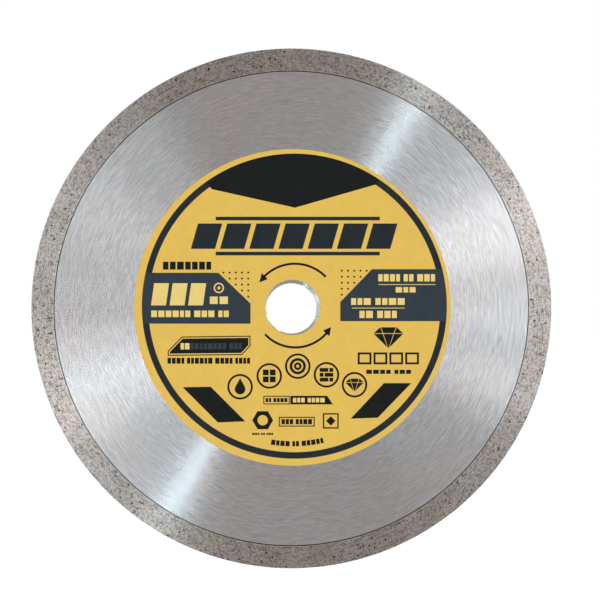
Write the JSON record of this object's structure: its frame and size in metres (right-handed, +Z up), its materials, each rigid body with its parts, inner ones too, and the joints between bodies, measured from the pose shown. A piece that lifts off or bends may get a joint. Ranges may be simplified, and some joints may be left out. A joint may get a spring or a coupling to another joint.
{
  "type": "diamond blade",
  "caption": "Flat round continuous-rim diamond blade with a steel core, sintered abrasive rim, central arbor bore and a printed face label.",
  "frame": {"origin": "centre of the arbor bore, on the mid-plane of the steel core", "axes": "+Y along the spin axis, out of the plain back face; -Y out of the labelled front face; +Z up and +X right as the label is read"},
  "size_m": [0.23, 0.0024, 0.23],
  "materials": {
    "core_steel": "bare steel ground in circles round the bore, fine grain, semi-bright",
    "sintered_rim": "dressed sintered bronze and iron matrix, rough, with dark diamond specks",
    "diamond_grit": "small dark angular synthetic diamond crystals",
    "label_glue": "clear pressure-sensitive adhesive, seen only at its edge",
    "label_yellow": "yellow printed vinyl film with a satin varnish",
    "label_black": "black screen-printed ink",
    "label_slate": "dark slate screen-printed ink"
  },
  "bodies": {
    "root": {"steel_core": "core_steel", "diamond_rim": "sintered_rim", "label_adhesive": "label_glue", "label_film": "label_yellow"}
  },
  "joints": []
}
